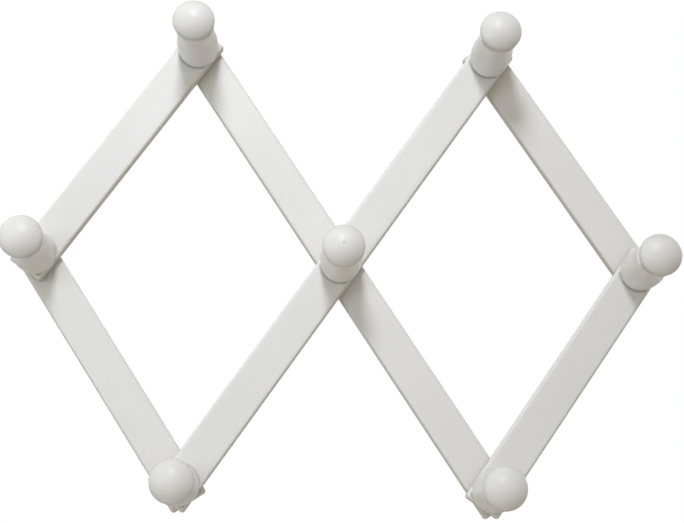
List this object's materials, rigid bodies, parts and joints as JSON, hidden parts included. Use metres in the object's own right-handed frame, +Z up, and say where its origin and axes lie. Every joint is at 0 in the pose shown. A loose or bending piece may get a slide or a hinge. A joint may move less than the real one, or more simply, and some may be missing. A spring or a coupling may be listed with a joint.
{
  "type": "expandable coat rack",
  "caption": "Accordion coat rack of crossed painted wooden slats that fold like scissors on turned ball-headed pegs, which hold coats and hats along a wall.",
  "frame": {"origin": "on the wall plane, behind the centre peg, where the centre pivot's axis meets the backs of the rear slats", "axes": "+X along the rack to the right as seen by someone facing it, +Y into the wall, +Z up; the pegs point along -Y"},
  "size_m": [0.4628, 0.0766, 0.3498],
  "materials": {
    "slat_paint": "white satin paint over sanded wood",
    "peg_paint": "white satin paint over turned wood",
    "screw_steel": "zinc-plated"
  },
  "bodies": {
    "centre_pivot": {"peg_centre": "peg_paint", "screw_centre": "screw_steel"},
    "front_long": {"front_long_slat": "slat_paint", "peg_bottom_left": "peg_paint", "screw_bottom_left": "screw_steel", "peg_top_right": "peg_paint", "screw_top_right": "screw_steel"},
    "rear_long": {"rear_long_slat": "slat_paint"},
    "front_left": {"front_left_slat": "slat_paint", "peg_left": "peg_paint", "screw_left": "screw_steel", "peg_top_left": "peg_paint", "screw_top_left": "screw_steel"},
    "front_right": {"front_right_slat": "slat_paint", "peg_right": "peg_paint", "screw_right": "screw_steel", "peg_bottom_right": "peg_paint", "screw_bottom_right": "screw_steel"},
    "rear_left": {"rear_left_slat": "slat_paint"},
    "rear_right": {"rear_right_slat": "slat_paint"}
  },
  "joints": [
    {"name": "fold", "type": "hinge", "parent": "centre_pivot", "child": "front_long", "pos_m": [0, 0, 0], "axis": [0, -1, 0], "range_deg": [-51.2, 29.6]},
    {"name": "rear_long_turn", "type": "hinge", "parent": "centre_pivot", "child": "rear_long", "pos_m": [0, 0, 0], "axis": [0, -1, 0], "range_deg": [-29.8, 51.4]},
    {"name": "front_left_turn", "type": "hinge", "parent": "rear_long", "child": "front_left", "pos_m": [-0.1068, 0, 0.15715], "axis": [0, -1, 0], "range_deg": [-102.6, 59.4]},
    {"name": "front_right_turn", "type": "hinge", "parent": "rear_long", "child": "front_right", "pos_m": [0.1068, 0, -0.15715], "axis": [0, -1, 0], "range_deg": [-102.6, 59.4]},
    {"name": "rear_left_turn", "type": "hinge", "parent": "front_long", "child": "rear_left", "pos_m": [-0.1068, 0, -0.15715], "axis": [0, -1, 0], "range_deg": [-59.4, 102.6]},
    {"name": "rear_right_turn", "type": "hinge", "parent": "front_long", "child": "rear_right", "pos_m": [0.1068, 0, 0.15715], "axis": [0, -1, 0], "range_deg": [-59.4, 102.6]}
  ],
  "couplings": [
    {"joint": "rear_long_turn", "follows": "fold", "ratio": -1},
    {"joint": "front_left_turn", "follows": "fold", "ratio": 2},
    {"joint": "front_right_turn", "follows": "fold", "ratio": 2},
    {"joint": "rear_left_turn", "follows": "fold", "ratio": -2},
    {"joint": "rear_right_turn", "follows": "fold", "ratio": -2}
  ]
}
